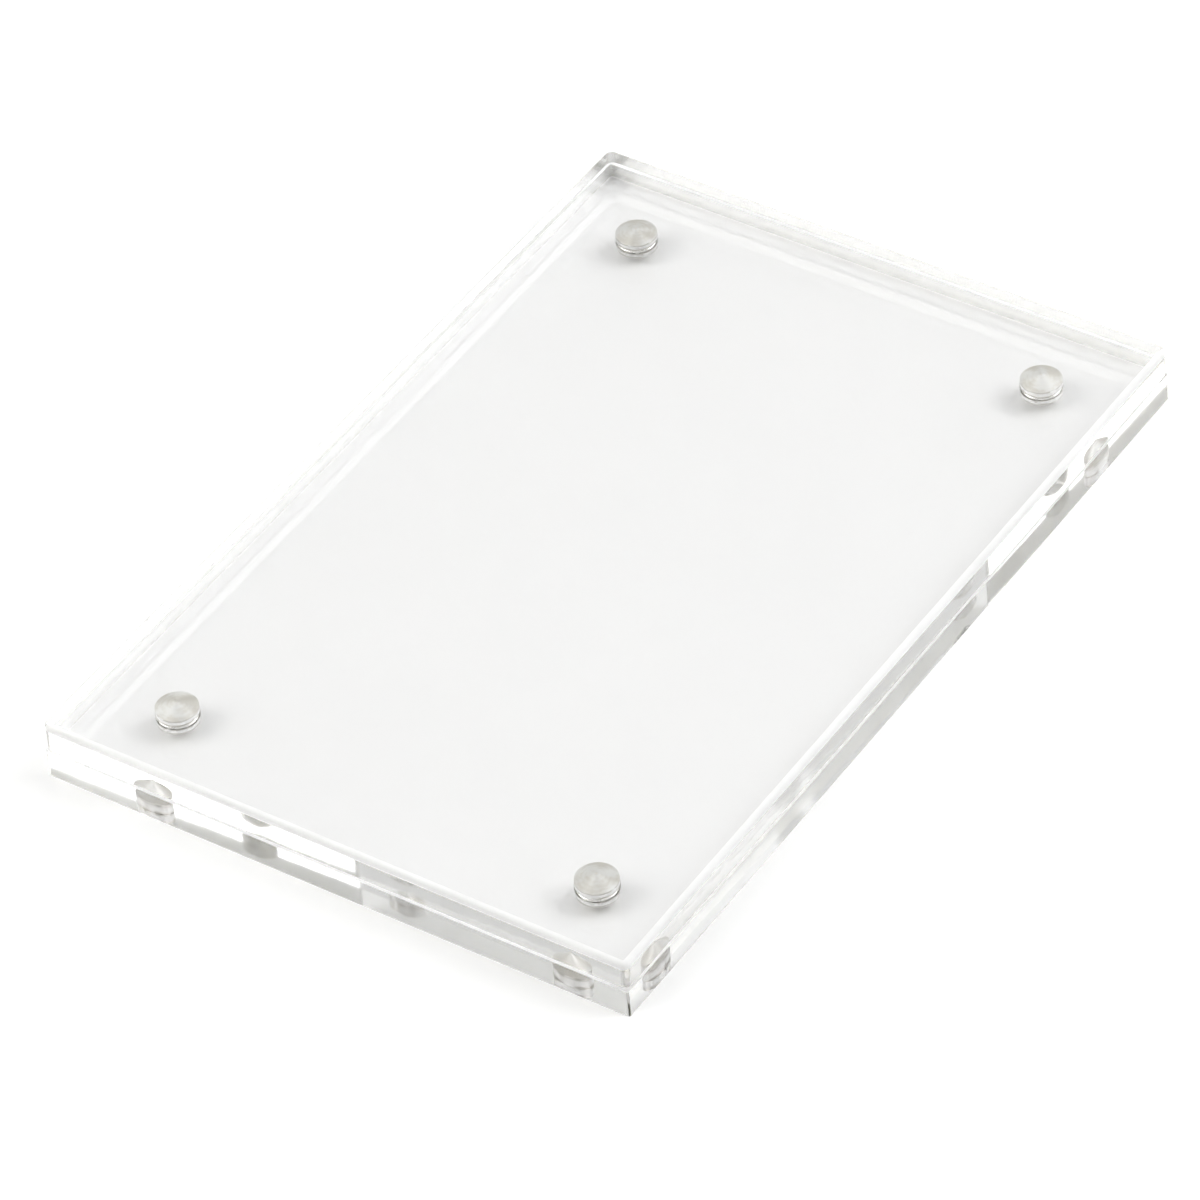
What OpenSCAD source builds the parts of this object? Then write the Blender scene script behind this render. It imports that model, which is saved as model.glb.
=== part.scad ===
// Magnetic acrylic photo frame: two clear panels held together by pairs of disc magnets.
// It lies flat with its long side along Y. The origin is the centre of the rear panel's outer face.
// Left and right, top and bottom are as seen from above, as when the frame stands upright facing you.

/* [Panels] */
// Length of each panel's short side
panel_w = 101.6; // [70:0.1:220]
// Length of each panel's long side
panel_l = 152.4; // [90:0.1:320]
// Thickness of the rear panel, which the frame lies on
rear_t = 4.83; // [4.2:0.01:12]
// Thickness of the front panel
front_t = 4.45; // [4.2:0.01:12]
// Radius of the rounding along the edges of the front panel's outer face
front_edge_r = 1; // [0.2:0.05:2]
// Width of the fine bevel along the edges of both inner faces and of the rear panel's outer face
edge_bevel = 0.1; // [0.05:0.05:0.5]
// Radius of the front panel's four upright corners
front_corner_r = 1.2; // [0.7:0.1:6]
// Radius of the rear panel's four upright corners
rear_corner_r = 0.4; // [0.3:0.1:6]

/* [Magnets] */
// Distance from each panel edge to a magnet's centre
station_inset = 14.1; // [8:0.1:22]
// Diameter of a disc magnet
magnet_d = 6.35; // [5:0.05:7.5]
// Thickness of a disc magnet
magnet_h = 2; // [1.5:0.01:2.4]
// Radius of the rounded rims that nickel plating gives a magnet
magnet_rim_r = 0.25; // [0.1:0.05:0.5]
// How far a magnet stands out of its panel's inner face
magnet_proud = 0.32; // [0.02:0.01:0.5]

/* [Drilled holes] */
// Gap between a magnet's side and the wall of its hole
hole_play = 0.1; // [0.05:0.01:0.3]
// Angle of the drill point that leaves the cone at the bottom of each hole, in degrees
drill_point = 118; // [112:1:150]

/* [Adhesive] */
// Thickness of the adhesive between a magnet's back and the rim of the cone
bond_t = 0.2; // [0.05:0.01:0.3]
// Shrinkage gap between the cured adhesive and the hole around it
bond_play = 0.03; // [0.01:0.01:0.06]

/* [Hidden] */
$fn = 96;

// Height of the plane where the two panels' magnets meet
meet_z = rear_t + magnet_proud;
// Straight depth and radius of each blind hole, and the height of its cone
hole_r = magnet_d / 2 + hole_play;
hole_depth = magnet_h - magnet_proud + bond_t;
cone_h = hole_r / tan(drill_point / 2);
// How far a cutting shape runs past the face that it cuts
cut_past = 1;
// The four stations, as signs of X and Y
bottom_left = [-1, -1];
bottom_right = [1, -1];
top_left = [-1, 1];
top_right = [1, 1];
stations = [bottom_left, bottom_right, top_left, top_right];

clear_acrylic = [0.90, 0.94, 0.94, 0.35];
nickel = [0.62, 0.62, 0.60];
clear_adhesive = [0.86, 0.85, 0.80, 0.7];

// Moves its children to the magnet axis of one station
module at_station(side) {
    x = side.x * (panel_w / 2 - station_inset);
    y = side.y * (panel_l / 2 - station_inset);
    translate([x, y, 0]) children();
}

// Turns a shape that is drawn below the meeting plane over, to lie above it
module in_front() {
    translate([0, 0, 2 * meet_z]) mirror([0, 0, 1]) children();
}

// A panel's outline seen from above, with round corners
module plan_outline(corner_r) {
    square([panel_w - 2 * corner_r, panel_l], center = true);
    square([panel_w, panel_l - 2 * corner_r], center = true);
    for (side = stations)
        translate([side.x * (panel_w / 2 - corner_r), side.y * (panel_l / 2 - corner_r)])
            circle(r = corner_r);
}

// A panel's cross-section, centred on its width, with fine bevels along all four edges
module bevelled_section(width, panel_t) {
    half = width / 2;
    polygon([
        [-half + edge_bevel, 0],
        [half - edge_bevel, 0],
        [half, edge_bevel],
        [half, panel_t - edge_bevel],
        [half - edge_bevel, panel_t],
        [-half + edge_bevel, panel_t],
        [-half, panel_t - edge_bevel],
        [-half, edge_bevel]
    ]);
}

// The front panel's cross-section, drawn with its outer face down: round edges below, fine bevels above
module rounded_section(width, panel_t) {
    half = width / 2;
    flat = half - front_edge_r;
    polygon([
        [-flat, 0],
        [flat, 0],
        [flat, front_edge_r],
        [half, front_edge_r],
        [half, panel_t - edge_bevel],
        [half - edge_bevel, panel_t],
        [-half + edge_bevel, panel_t],
        [-half, panel_t - edge_bevel],
        [-half, front_edge_r],
        [-flat, front_edge_r]
    ]);
    for (side_x = [-flat, flat])
        translate([side_x, front_edge_r]) circle(r = front_edge_r);
}

module rear_slab() {
    intersection() {
        linear_extrude(rear_t) plan_outline(rear_corner_r);
        rotate([90, 0, 0]) linear_extrude(panel_l, center = true) bevelled_section(panel_w, rear_t);
        rotate([90, 0, 90]) linear_extrude(panel_w, center = true) bevelled_section(panel_l, rear_t);
    }
}

module front_slab() {
    intersection() {
        linear_extrude(front_t) plan_outline(front_corner_r);
        rotate([90, 0, 0]) linear_extrude(panel_l, center = true) rounded_section(panel_w, front_t);
        rotate([90, 0, 90]) linear_extrude(panel_w, center = true) rounded_section(panel_l, front_t);
    }
}

// The blind hole of one magnet, drilled down from the rear panel's inner face, ending in the drill's cone
module blind_hole() {
    rotate_extrude() polygon([
        [0, rear_t + cut_past],
        [hole_r, rear_t + cut_past],
        [hole_r, rear_t - hole_depth],
        [0, rear_t - hole_depth - cone_h]
    ]);
}

module rear_panel() {
    color(clear_acrylic) difference() {
        rear_slab();
        for (side = stations) at_station(side) blind_hole();
    }
}

// Drawn below the meeting plane, with its inner face as high as the rear panel's, and then turned over
module front_panel() {
    color(clear_acrylic) in_front() difference() {
        translate([0, 0, rear_t - front_t]) front_slab();
        for (side = stations) at_station(side) blind_hole();
    }
}

// A disc magnet in the rear panel, up to the meeting plane, with rounded rims
module magnet() {
    magnet_r = magnet_d / 2;
    color(nickel) translate([0, 0, meet_z - magnet_h]) rotate_extrude() {
        square([magnet_r - magnet_rim_r, magnet_h]);
        translate([0, magnet_rim_r]) square([magnet_r, magnet_h - 2 * magnet_rim_r]);
        for (rim_z = [magnet_rim_r, magnet_h - magnet_rim_r])
            translate([magnet_r - magnet_rim_r, rim_z]) circle(r = magnet_rim_r);
    }
}

// The adhesive behind a magnet in the rear panel: it fills the cone and the space up to the magnet's back
module adhesive() {
    plug_r = hole_r - bond_play;
    plug_cone_h = cone_h * plug_r / hole_r;
    back_z = meet_z - magnet_h;
    color(clear_adhesive) rotate_extrude() polygon([
        [0, back_z],
        [plug_r, back_z],
        [plug_r, back_z - bond_t],
        [0, back_z - bond_t - plug_cone_h]
    ]);
}

module rear_magnet(side) {
    at_station(side) magnet();
}

module front_magnet(side) {
    in_front() at_station(side) magnet();
}

module rear_adhesive(side) {
    at_station(side) adhesive();
}

module front_adhesive(side) {
    in_front() at_station(side) adhesive();
}

rear_panel();
front_panel();
rear_magnet(bottom_left);  // rear_magnet_bottom_left
rear_magnet(bottom_right);  // rear_magnet_bottom_right
rear_magnet(top_left);  // rear_magnet_top_left
rear_magnet(top_right);  // rear_magnet_top_right
front_magnet(bottom_left);  // front_magnet_bottom_left
front_magnet(bottom_right);  // front_magnet_bottom_right
front_magnet(top_left);  // front_magnet_top_left
front_magnet(top_right);  // front_magnet_top_right
rear_adhesive(bottom_left);  // rear_adhesive_bottom_left
rear_adhesive(bottom_right);  // rear_adhesive_bottom_right
rear_adhesive(top_left);  // rear_adhesive_top_left
rear_adhesive(top_right);  // rear_adhesive_top_right
front_adhesive(bottom_left);  // front_adhesive_bottom_left
front_adhesive(bottom_right);  // front_adhesive_bottom_right
front_adhesive(top_left);  // front_adhesive_top_left
front_adhesive(top_right);  // front_adhesive_top_right
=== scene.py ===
"""Magnetic acrylic photo frame: two clear panels with disc magnets in blind holes, lying on a pale table."""
from math import cos, pi, radians, sin, tan

import bmesh
import bpy
from mathutils import Matrix, Vector


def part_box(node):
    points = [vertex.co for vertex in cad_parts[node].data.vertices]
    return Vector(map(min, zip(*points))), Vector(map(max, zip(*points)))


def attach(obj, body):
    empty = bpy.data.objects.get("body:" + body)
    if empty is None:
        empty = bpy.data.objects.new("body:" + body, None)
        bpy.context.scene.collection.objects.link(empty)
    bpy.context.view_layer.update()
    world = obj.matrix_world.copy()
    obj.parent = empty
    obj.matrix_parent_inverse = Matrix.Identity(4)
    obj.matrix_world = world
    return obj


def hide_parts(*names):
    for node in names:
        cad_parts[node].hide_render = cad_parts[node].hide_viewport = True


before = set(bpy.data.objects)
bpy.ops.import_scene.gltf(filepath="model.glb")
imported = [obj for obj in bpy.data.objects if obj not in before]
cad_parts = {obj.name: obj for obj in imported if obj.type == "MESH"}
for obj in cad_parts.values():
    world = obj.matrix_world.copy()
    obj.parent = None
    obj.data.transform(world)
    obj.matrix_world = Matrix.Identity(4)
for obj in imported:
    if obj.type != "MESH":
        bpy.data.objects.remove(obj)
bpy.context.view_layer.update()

MM = 0.001

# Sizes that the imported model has, read from its nodes
rear_low, rear_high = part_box("rear_panel")
front_low, front_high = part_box("front_panel")
magnet_low, magnet_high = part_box("rear_magnet_top_right")
half_w = rear_high.x
half_l = rear_high.y
rear_t = rear_high.z - rear_low.z
front_t = front_high.z - front_low.z
meet_z = magnet_high.z
station_x = (magnet_low.x + magnet_high.x) / 2
station_y = (magnet_low.y + magnet_high.y) / 2
magnet_r = (magnet_high.x - magnet_low.x) / 2
magnet_h = magnet_high.z - magnet_low.z
frame_t = front_high.z

# Sizes of the finer shapes, as in the model but for the bevels, which show here as hairlines
front_edge_r = 1.0 * MM
edge_bevel = 0.03 * MM
front_corner_r = 1.2 * MM
rear_corner_r = 0.4 * MM
magnet_rim_r = 0.25 * MM
hole_play = 0.1 * MM
bond_t = 0.2 * MM
hole_r = magnet_r + hole_play
hole_depth = magnet_h - (meet_z - rear_t) + bond_t
drill_point = radians(118)

# How much of their size the outer edges keep on the panel's crisp sides
crisp_share = 0.15

# Steps around a turned shape, along a round corner or edge, and along a fine bevel
turn_steps = 96
corner_steps = 10
round_steps = 12
bevel_steps = 3

CORNERS = {"bottom_left": (-1, -1), "bottom_right": (1, -1), "top_left": (-1, 1), "top_right": (1, 1)}


# Nodes and shaders

def new_material(name):
    mat = bpy.data.materials.new(name)
    mat.use_nodes = True
    mat.node_tree.nodes.clear()
    return mat


class Graph:
    """A short way to write a shader's nodes and links."""

    def __init__(self, tree):
        self.tree = tree

    def node(self, kind, settings=None, **inputs):
        """A new node. Its inputs go by name, with _ for a space, or by place, as i0, i1 and so on."""
        made = self.tree.nodes.new(kind)
        for key, value in (settings or {}).items():
            setattr(made, key, value)
        for key, value in inputs.items():
            by_place = key[0] == "i" and key[1:].isdigit()
            self.plug(made.inputs[int(key[1:]) if by_place else key.replace("_", " ")], value)
        return made

    def plug(self, socket, value):
        """Links another node's output to the socket, or sets its constant."""
        if isinstance(value, bpy.types.NodeSocket):
            self.tree.links.new(value, socket)
        else:
            socket.default_value = value

    def math(self, operation, a, b=0.0, clamp=False):
        made = self.node("ShaderNodeMath", {"operation": operation, "use_clamp": clamp}, i0=a, i1=b)
        return made.outputs[0]

    def ramp(self, value, low, high, to_low=0.0, to_high=1.0):
        """A smooth step from to_low to to_high as value goes from low to high."""
        made = self.node("ShaderNodeMapRange", {"interpolation_type": "SMOOTHSTEP"}, Value=value,
                         From_Min=low, From_Max=high, To_Min=to_low, To_Max=to_high)
        return made.outputs[0]

    def dot(self, a, b):
        return self.node("ShaderNodeVectorMath", {"operation": "DOT_PRODUCT"}, i0=a, i1=b).outputs["Value"]

    def mix_colour(self, share, a, b):
        made = self.node("ShaderNodeMix", {"data_type": "RGBA"}, i0=share, i6=a, i7=b)
        return made.outputs[2]

    def mix_shader(self, share, a, b):
        return self.node("ShaderNodeMixShader", Fac=share, i1=a.outputs[0], i2=b.outputs[0])

    def noise(self, vector, scale, detail=2.0):
        made = self.node("ShaderNodeTexNoise", Vector=vector, Scale=scale, Detail=detail)
        return made.outputs["Fac"]

    def cells(self, vector, scale):
        """Distance from the nearest of many scattered points."""
        return self.node("ShaderNodeTexVoronoi", Vector=vector, Scale=scale).outputs["Distance"]

    def bump(self, height, strength, distance):
        made = self.node("ShaderNodeBump", Strength=strength, Distance=distance, Height=height)
        return made.outputs["Normal"]

    def wave(self, value, rate):
        """A sine wave, with its rate in radians per unit of the value."""
        return self.math("SINE", self.math("MULTIPLY", value, rate))

    def coords(self):
        return self.node("ShaderNodeTexCoord").outputs["Object"]

    def surface(self, shader):
        self.node("ShaderNodeOutputMaterial", Surface=shader.outputs[0])


def acrylic_material():
    """Clear cast acrylic with the sheet's own polished faces, very slightly wavy."""
    mat = new_material("clear_acrylic")
    g = Graph(mat.node_tree)
    waves = g.noise(g.coords(), 60, detail=1.0)
    clear = g.node("ShaderNodeBsdfPrincipled", Base_Color=(0.99, 0.99, 0.99, 1), Roughness=0.0, IOR=1.49,
                   Transmission_Weight=1.0, Normal=g.bump(waves, 0.02, 0.2 * MM))
    g.surface(clear)
    return mat


def polished_side_material():
    """The sawn and polished sides: clear, a little softer, with painted shade on the top and left ones: a
    dark sheet mixed in near those edges.
    """
    mat = new_material("polished_side")
    g = Graph(mat.node_tree)
    coords = g.coords()
    waves = g.noise(coords, 90)
    clear = g.node("ShaderNodeBsdfPrincipled", Base_Color=(0.99, 0.99, 0.99, 1), Roughness=0.05, IOR=1.49,
                   Transmission_Weight=1.0, Normal=g.bump(waves, 0.03, 0.2 * MM))
    # Painted shade: a dark greenish sheet, mixed into the sides near the top and left edges, makes the bands
    # seen in those sides through the top come out darker
    edge_shade_sheet = g.node("ShaderNodeBsdfDiffuse", Color=(0.10, 0.10, 0.01, 1))
    split = g.node("ShaderNodeSeparateXYZ", Vector=coords)
    topward = split.outputs["Y"]
    leftward = g.math("MULTIPLY", split.outputs["X"], -1.0)
    fade_from = 0.5 * MM
    fade_to = 0.1 * MM
    # How much painted shade is mixed in: most along the top side, a little less along the left side, fading
    # out away from each edge
    top_shade = g.ramp(topward, half_l - fade_from, half_l - fade_to, 0.0, 0.22)
    left_shade = g.ramp(leftward, half_w - fade_from, half_w - fade_to, 0.0, 0.19)
    g.surface(g.mix_shader(g.math("MAXIMUM", top_shade, left_shade), clear, edge_shade_sheet))
    return mat


def satin_bevel_material():
    """The round and bevelled edges that face right and down: hazy, so that they glow instead of mirroring."""
    mat = new_material("satin_bevel")
    g = Graph(mat.node_tree)
    streaks = g.noise(g.coords(), 60)
    clear = g.node("ShaderNodeBsdfPrincipled", Base_Color=(0.99, 0.99, 0.99, 1), Roughness=0.45, IOR=1.49,
                   Transmission_Weight=1.0)
    white = g.node("ShaderNodeBsdfDiffuse", Color=(0.97, 0.97, 0.965, 1))
    through = g.node("ShaderNodeBsdfTranslucent", Color=(0.99, 0.99, 0.985, 1))
    haze = g.mix_shader(0.2, white, through)
    g.surface(g.mix_shader(g.ramp(streaks, 0.3, 0.7, 0.72, 0.82), clear, haze))
    return mat


def station_radius(g, coords):
    """Distance from the nearest magnet axis, and the height, in millimetres."""
    split = g.node("ShaderNodeSeparateXYZ", Vector=coords)
    x = g.math("SUBTRACT", g.math("ABSOLUTE", split.outputs["X"]), station_x)
    y = g.math("SUBTRACT", g.math("ABSOLUTE", split.outputs["Y"]), station_y)
    r = g.math("SQRT", g.math("ADD", g.math("MULTIPLY", x, x), g.math("MULTIPLY", y, y)))
    return g.math("DIVIDE", r, MM), g.math("DIVIDE", split.outputs["Z"], MM)


def drilled_cone_material():
    """The drill's cone, frosted by the drill and backed by adhesive: pale grey with faint rings."""
    mat = new_material("drilled_cone")
    g = Graph(mat.node_tree)
    coords = g.coords()
    radius, _ = station_radius(g, coords)
    rings = g.wave(g.math("ADD", radius, g.noise(coords, 900)), rate=9)
    cloud = g.noise(coords, 350, detail=3.0)
    tone = g.math("ADD", g.math("MULTIPLY", rings, 0.03), cloud, clamp=True)
    colour = g.mix_colour(g.ramp(tone, 0.35, 0.65), (0.66, 0.64, 0.59, 1), (0.80, 0.80, 0.78, 1))
    skin = g.node("ShaderNodeBsdfPrincipled", Base_Color=colour, Metallic=0.2, Roughness=0.35, IOR=1.5,
                  Normal=g.bump(rings, 0.07, 0.03 * MM))
    g.surface(skin)
    return mat


def wet_share(g, coords, height):
    """Where adhesive joins the hole's wall to the magnet: at its two rims, and in scattered drops.
    Its lengths are in millimetres."""
    from_meet = g.math("ABSOLUTE", g.math("SUBTRACT", height, meet_z / MM))
    drift = g.math("MULTIPLY", g.math("SUBTRACT", g.noise(coords, 240), 0.5), 0.9)
    level = g.math("ADD", from_meet, drift)
    mouth = (meet_z - rear_t) / MM
    base = mouth + hole_depth / MM
    mouth_width = 0.3
    back_width = 0.4
    blur = 0.15
    mouth_band = g.ramp(level, mouth + mouth_width, mouth + mouth_width + blur, 1.0, 0.0)
    back_band = g.ramp(level, base - back_width - blur, base - back_width)
    broken = g.ramp(g.noise(coords, 420, detail=1.0), 0.36, 0.42)
    bands = g.math("MULTIPLY", g.math("MAXIMUM", mouth_band, back_band), broken)
    scattered = g.ramp(g.noise(coords, 500), 0.5, 0.56)
    drops = g.math("MULTIPLY", g.ramp(g.cells(coords, 1100), 0.24, 0.3, 1.0, 0.0), scattered)
    return g.math("MAXIMUM", bands, drops)


def drilled_wall_material():
    """The hole's wall: frosted where air lies behind it, dark where adhesive joins it to the magnet."""
    mat = new_material("drilled_wall")
    g = Graph(mat.node_tree)
    coords = g.coords()
    _, height = station_radius(g, coords)
    grooves = g.bump(g.wave(height, rate=30), 0.2, 0.02 * MM)
    clear = g.node("ShaderNodeBsdfPrincipled", Base_Color=(0.985, 0.99, 0.985, 1), Roughness=0.02, IOR=1.49,
                   Transmission_Weight=1.0, Normal=grooves)
    dark = g.node("ShaderNodeBsdfPrincipled", Base_Color=(0.58, 0.56, 0.53, 1), Metallic=1.0, Roughness=0.35,
                  Normal=grooves)
    frost = g.node("ShaderNodeBsdfDiffuse", Color=(0.97, 0.97, 0.965, 1), Normal=grooves)
    chatter = g.ramp(g.noise(coords, 800, detail=3.0), 0.4, 0.6, 0.8, 1.0)
    dry = g.mix_shader(chatter, clear, frost)
    g.surface(g.mix_shader(wet_share(g, coords, height), dry, dark))
    return mat


def nickel_material():
    """Bright nickel plating with fine handling scratches and a few duller patches."""
    mat = new_material("nickel_plating")
    g = Graph(mat.node_tree)
    coords = g.coords()
    stretched = g.node("ShaderNodeMapping", Vector=coords, Scale=(1, 9, 1), Rotation=(0, 0, 0.6)).outputs[0]
    scratches = g.noise(stretched, 1400, detail=4.0)
    patches = g.noise(coords, 420, detail=3.0)
    colour = g.mix_colour(patches, (0.70, 0.69, 0.66, 1), (0.84, 0.83, 0.81, 1))
    rough = g.ramp(patches, 0.3, 0.7, 0.16, 0.32)
    skin = g.node("ShaderNodeBsdfPrincipled", Base_Color=colour, Metallic=1.0, Roughness=rough,
                  Normal=g.bump(scratches, 0.15, 0.02 * MM))
    g.surface(skin)
    return mat


def adhesive_material():
    """Cured clear adhesive, a little cloudy with small bubbles."""
    mat = new_material("cured_adhesive")
    g = Graph(mat.node_tree)
    bubbles = g.ramp(g.cells(g.coords(), 1200), 0.1, 0.35)
    colour = g.mix_colour(bubbles, (0.93, 0.92, 0.90, 1), (0.80, 0.78, 0.72, 1))
    skin = g.node("ShaderNodeBsdfPrincipled", Base_Color=colour, Roughness=0.3, IOR=1.49,
                  Transmission_Weight=0.4)
    g.surface(skin)
    return mat


# The panels' shapes

def plan_loop(corner_r):
    """Points of the panel's outline, anticlockwise, with each point's outward direction."""
    points = []
    for k, (sx, sy) in enumerate([(1, 1), (-1, 1), (-1, -1), (1, -1)]):
        centre = Vector((sx * (half_w - corner_r), sy * (half_l - corner_r)))
        for i in range(corner_steps + 1):
            angle = pi / 2 * (k + i / corner_steps)
            out = Vector((cos(angle), sin(angle)))
            points.append((centre + corner_r * out, out))
    return points


def crispness(out):
    """From 0 on the right and bottom edges to 1 on the left and top ones, which the polish left sharper."""
    return (max(-1, min(1, out.y - out.x)) + 1) / 2


def panel_levels(panel_t, outer_r):
    """The panel's side from its outer face to its inner face: inset, height and slope of each level."""
    steps = round_steps if outer_r > edge_bevel else bevel_steps
    levels = []
    for i in range(steps + 1):
        a = pi / 2 * i / steps
        levels.append((outer_r * (1 - sin(a)), outer_r * (1 - cos(a)), -cos(a), sin(a)))
    for i in range(bevel_steps + 1):
        a = pi / 2 * i / bevel_steps
        levels.append((edge_bevel * (1 - cos(a)), panel_t - edge_bevel * (1 - sin(a)), sin(a), cos(a)))
    return levels


def hole_profile():
    """The blind hole from its mouth to the drill's tip: radius, depth and the surface's normal."""
    pip_r = 0.3 * MM
    pip_depth = 0.06 * MM
    mouth_round = 0.06 * MM
    wall_end = hole_depth - 0.03 * MM
    cone_rings = 14
    slope = pi / 2 - drill_point / 2
    cone_normal = (-sin(slope), cos(slope))
    points = [(hole_r + mouth_round, 0.0, (0, 1))]
    for depth in (mouth_round, wall_end):
        points.append((hole_r, depth, (-1, 0)))
    for i in range(cone_rings + 1):
        r = hole_r + (pip_r - hole_r) * i / cone_rings
        points.append((r, hole_depth + (hole_r - r) * tan(slope), cone_normal))
    tip = points[-1][1]
    pip_normal = (-0.3, 0.95)
    points.append((pip_r / 2, tip + pip_depth, pip_normal))
    return points


class PanelMesh:
    """A drilled panel below the meeting plane, or turned over about it, with exact normals."""

    # Places of the panel's materials
    FACE, CONE, WALL, SIDE, EDGE = range(5)

    def __init__(self, panel_t, turned_over):
        self.bm = bmesh.new()
        self.outer_z = rear_t - panel_t
        self.turned_over = turned_over
        self.corner_normals = []

    def vert(self, x, y, z):
        return self.bm.verts.new((x, y, 2 * meet_z - z if self.turned_over else z))

    def face(self, verts, normals, slot):
        flip = -1 if self.turned_over else 1
        made = self.bm.faces.new(verts[::flip])
        made.material_index = slot
        made.smooth = True
        turned = []
        for normal in normals[::flip]:
            n = Vector(normal).normalized()
            turned.append(Vector((n.x, n.y, n.z * flip)))
        self.corner_normals.append(turned)

    def band(self, low, high, i, j, slot):
        """The face between places i and j of two rows of points."""
        verts = [low[0][i], low[0][j], high[0][j], high[0][i]]
        normals = [low[1][i], low[1][j], high[1][j], high[1][i]]
        self.face(verts, normals, slot)

    def add_sides(self, outline, levels):
        """The outer face and the sides, up to the returned loop of points around the inner face."""
        side_row = len(levels) - bevel_steps - 2
        rows = []
        for k, (inset, z, nz, nr) in enumerate(levels):
            verts = []
            for point, out in outline:
                scale = 1 - crispness(out) * (1 - crisp_share) if k <= side_row else 1
                spot = point - out * inset * scale
                verts.append(self.vert(spot.x, spot.y, self.outer_z + z * scale))
            rows.append((verts, [(out.x * nr, out.y * nr, nz) for _, out in outline]))
        count = len(outline)
        for k, (low, high) in enumerate(zip(rows, rows[1:])):
            for i in range(count):
                polished = k == side_row or crispness(outline[i][1]) > 0.5
                self.band(low, high, i, (i + 1) % count, self.SIDE if polished else self.EDGE)
        self.face(rows[0][0][::-1], [(0, 0, -1)] * count, self.FACE)
        return rows[-1][0]

    def add_hole(self, sx, sy):
        """One blind hole. It returns the loop of points around its mouth."""
        angles = [2 * pi * i / turn_steps for i in range(turn_steps)]
        rings = []
        for r, depth, (nr, nz) in hole_profile():
            verts = [self.vert(sx * station_x + r * cos(a), sy * station_y + r * sin(a), rear_t - depth)
                     for a in angles]
            rings.append((verts, [(nr * cos(a), nr * sin(a), nz) for a in angles]))
        wall_rings = 2
        for k, (high, low) in enumerate(zip(rings, rings[1:])):
            for i in range(turn_steps):
                self.band(high, low, i, (i + 1) % turn_steps, self.WALL if k < wall_rings else self.CONE)
        self.face(rings[-1][0], [(0, 0, 1)] * turn_steps, self.CONE)
        return rings[0][0]

    def fill_inner_face(self, loops):
        """The inner face, between the outline and the four mouths."""
        edges = []
        for loop in loops:
            for i, vert in enumerate(loop):
                edges.append(self.bm.edges.get((vert, loop[(i + 1) % len(loop)])))
        before = set(self.bm.faces)
        filled = bmesh.ops.triangle_fill(self.bm, use_beauty=True, use_dissolve=False, edges=edges)
        up = Vector((0, 0, -1 if self.turned_over else 1))
        for made in filled["geom"]:
            if not isinstance(made, bmesh.types.BMFace) or made in before:
                continue
            if made.normal.dot(up) < 0:
                made.normal_flip()
            made.material_index = self.FACE
            made.smooth = True
            self.corner_normals.append([up] * 3)

    def finish(self, name, materials):
        mesh = bpy.data.meshes.new(name)
        self.bm.faces.index_update()
        self.bm.to_mesh(mesh)
        self.bm.free()
        mesh.normals_split_custom_set([tuple(n) for normals in self.corner_normals for n in normals])
        for mat in materials:
            mesh.materials.append(mat)
        return link(name, mesh)


def build_panel(name, panel_t, corner_r, outer_r, turned_over, materials):
    panel = PanelMesh(panel_t, turned_over)
    loops = [panel.add_sides(plan_loop(corner_r), panel_levels(panel_t, outer_r))]
    for sx, sy in CORNERS.values():
        loops.append(panel.add_hole(sx, sy))
    panel.fill_inner_face(loops)
    return panel.finish(name, materials)


def link(name, data):
    made = bpy.data.objects.new(name, data)
    bpy.context.scene.collection.objects.link(made)
    return made


# The magnets' shapes

def magnet_profile():
    """Half of a plated disc's section, with rounded rims and a faint dish in each face: radius and height."""
    dish = 0.012 * MM
    rim_steps = 6
    profile = [(0.0, dish), (magnet_r * 0.5, dish * 0.8), (magnet_r * 0.8, dish * 0.3)]
    for i in range(rim_steps + 1):
        a = pi / 2 * i / rim_steps
        profile.append((magnet_r - magnet_rim_r * (1 - sin(a)), magnet_rim_r * (1 - cos(a))))
    return profile + [(r, magnet_h - z) for r, z in profile[::-1]]


def build_magnet(name, corner, in_front, mat):
    """A disc turned from its profile, on one side of the meeting plane."""
    low_z = meet_z if in_front else meet_z - magnet_h
    sx, sy = CORNERS[corner]
    directions = [2 * pi * i / turn_steps for i in range(turn_steps)]
    bm = bmesh.new()
    rings = []
    for r, z in magnet_profile():
        centre = Vector((sx * station_x, sy * station_y, low_z + z))
        if r == 0:
            rings.append([bm.verts.new(centre)])
        else:
            rings.append([bm.verts.new(centre + r * Vector((cos(a), sin(a), 0))) for a in directions])
    for low, high in zip(rings, rings[1:]):
        for i in range(turn_steps):
            j = (i + 1) % turn_steps
            corners = [low[i % len(low)], low[j % len(low)], high[j % len(high)], high[i % len(high)]]
            made = bm.faces.new(list(dict.fromkeys(corners)))
            made.smooth = True
    bmesh.ops.recalc_face_normals(bm, faces=bm.faces)
    mesh = bpy.data.meshes.new(name)
    bm.to_mesh(mesh)
    bm.free()
    mesh.materials.append(mat)
    return link(name, mesh)


# The object

acrylic = acrylic_material()
cone = drilled_cone_material()
wall = drilled_wall_material()
polished_side = polished_side_material()
satin_bevel = satin_bevel_material()
nickel = nickel_material()
adhesive = adhesive_material()

for side, panel_t, corner_r, outer_r in (("rear", rear_t, rear_corner_r, edge_bevel),
                                        ("front", front_t, front_corner_r, front_edge_r)):
    in_front = side == "front"
    panel = build_panel(side + "_panel_clear", panel_t, corner_r, outer_r, in_front,
                        [acrylic, cone, wall, polished_side, satin_bevel])
    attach(panel, side)
    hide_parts(side + "_panel")
    for corner in CORNERS:
        disc = build_magnet(side + "_magnet_disc_" + corner, corner, in_front, nickel)
        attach(disc, side)
        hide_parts(side + "_magnet_" + corner)
        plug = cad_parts[side + "_adhesive_" + corner]
        plug.data.materials.clear()
        plug.data.materials.append(adhesive)


# The camera, at the photograph's viewing angle

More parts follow.
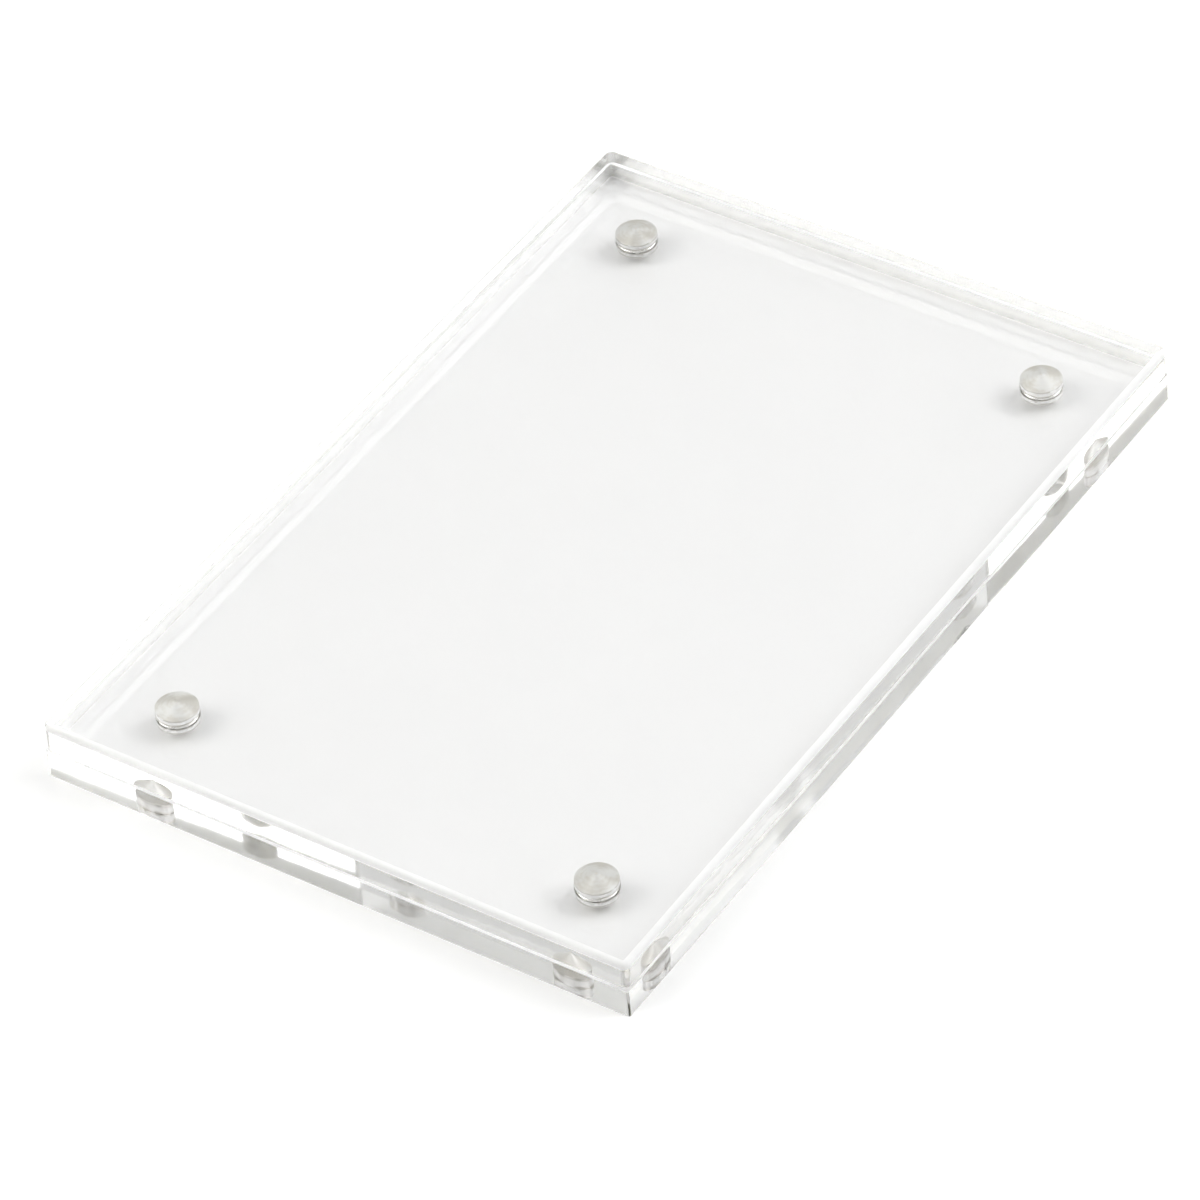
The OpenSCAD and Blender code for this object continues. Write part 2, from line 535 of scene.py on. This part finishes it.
camera_azimuth = radians(36.37)
camera_elevation = radians(41.96)
camera_roll = radians(-4.99)
camera_distance = 1.0656
camera_lens = 216.7
camera_target = Vector((0.00593, -0.01374, frame_t))

# Level directions in the plan: to the right of the picture, and toward the camera
view_right = Vector((cos(camera_azimuth), sin(camera_azimuth), 0))
view_toward = Vector((view_right.y, -view_right.x, 0))


def build_camera():
    to_camera = Vector((cos(camera_elevation) * sin(camera_azimuth),
                        -cos(camera_elevation) * cos(camera_azimuth), sin(camera_elevation)))
    upright = to_camera.cross(view_right)
    right = cos(camera_roll) * view_right + sin(camera_roll) * upright
    up = cos(camera_roll) * upright - sin(camera_roll) * view_right
    data = bpy.data.cameras.new("camera")
    data.lens = camera_lens
    data.sensor_width = 36
    data.clip_start = 0.01
    made = link("camera", data)
    turn = Matrix((right, up, to_camera)).transposed().to_4x4()
    made.matrix_world = Matrix.Translation(camera_target + camera_distance * to_camera) @ turn
    bpy.context.scene.camera = made


# The table, the world and the lamps

def table_material():
    """A pale satin table top: the camera sees it white, with the frame's soft shadow."""
    mat = new_material("pale_table")
    g = Graph(mat.node_tree)
    grain = g.noise(g.coords(), 30, detail=3.0)
    colour = g.mix_colour(grain, (0.86, 0.86, 0.857, 1), (0.88, 0.88, 0.877, 1))
    satin = g.node("ShaderNodeBsdfPrincipled", Base_Color=colour, Roughness=0.6, IOR=1.2)
    lift_to_white = 0.15
    seen = g.node("ShaderNodeLightPath").outputs["Is Camera Ray"]
    glow = g.node("ShaderNodeEmission", Color=(1, 1, 1, 1), Strength=g.math("MULTIPLY", seen, lift_to_white))
    g.surface(g.node("ShaderNodeAddShader", i0=satin.outputs[0], i1=glow.outputs[0]))
    return mat


def build_table():
    """A wide round top, a hair below the frame so that the two faces don't coincide."""
    table_r = 4.0
    gap_below = 0.02 * MM
    bm = bmesh.new()
    bmesh.ops.create_circle(bm, cap_ends=True, segments=64, radius=table_r)
    mesh = bpy.data.meshes.new("table_top")
    bm.to_mesh(mesh)
    bm.free()
    mesh.materials.append(table_material())
    made = link("table_top", mesh)
    made.location.z = -gap_below


def build_world():
    """A dim room, brighter overhead and with a pale sheet behind the frame, lights the table.
    The camera sees it white, directly and in the glass and the metal."""
    world = bpy.data.worlds.new("pale_room")
    bpy.context.scene.world = world
    world.use_nodes = True
    world.node_tree.nodes.clear()
    g = Graph(world.node_tree)
    direction = g.node("ShaderNodeTexCoord").outputs["Generated"]
    height = g.node("ShaderNodeSeparateXYZ", Vector=direction).outputs["Z"]
    behind = g.ramp(g.dot(direction, view_toward), -0.6, -0.3, 1.0, 0.0)
    beside = g.math("ABSOLUTE", g.dot(direction, view_right))
    sheet = g.math("MULTIPLY", behind, g.ramp(beside, 0.3, 0.5, 1.0, 0.0))
    room_strength = 0.18
    overhead_strength = 0.4
    sheet_strength = 0.94
    overhead = g.ramp(height, 0.7, 0.85, room_strength, overhead_strength)
    room = g.math("MAXIMUM", overhead, g.math("MULTIPLY", sheet, sheet_strength))
    lit = g.node("ShaderNodeBackground", Strength=room, Color=(1, 1, 1, 1))
    white = g.node("ShaderNodeBackground", Strength=1.0)
    path = g.node("ShaderNodeLightPath")
    glassy = g.math("MAXIMUM", path.outputs["Is Glossy Ray"], path.outputs["Is Transmission Ray"])
    straight = g.math("LESS_THAN", path.outputs["Diffuse Depth"], 0.5)
    seen = g.math("MAXIMUM", path.outputs["Is Camera Ray"], g.math("MULTIPLY", glassy, straight))
    g.node("ShaderNodeOutputWorld", Surface=g.mix_shader(seen, lit, white).outputs[0])


def build_lamp(name, azimuth, power, colour):
    """A tall soft box aimed at the frame."""
    elevation = radians(37)
    reach = 1.1
    data = bpy.data.lights.new(name, "AREA")
    data.shape = "RECTANGLE"
    data.size = 0.9
    data.size_y = 1.3
    data.energy = power
    data.color = colour
    made = link(name, data)
    place = Vector((cos(azimuth) * cos(elevation), sin(azimuth) * cos(elevation), sin(elevation))) * reach
    made.location = place
    made.rotation_euler = place.to_track_quat("Z", "Y").to_euler()


build_camera()
build_table()
build_world()
build_lamp("soft_box_right", azimuth=radians(37), power=11.8, colour=(0.99, 0.995, 1))
build_lamp("soft_box_left", azimuth=radians(226), power=9.8, colour=(1, 0.995, 0.98))

# Light crosses many clear faces before it leaves the frame, and its sharp paths are kept sharp
scene = bpy.context.scene
scene.view_settings.view_transform = "Standard"
scene.cycles.max_bounces = 64
scene.cycles.transmission_bounces = 64
scene.cycles.glossy_bounces = 64
scene.cycles.transparent_max_bounces = 32
scene.cycles.diffuse_bounces = 4
scene.cycles.blur_glossy = 0
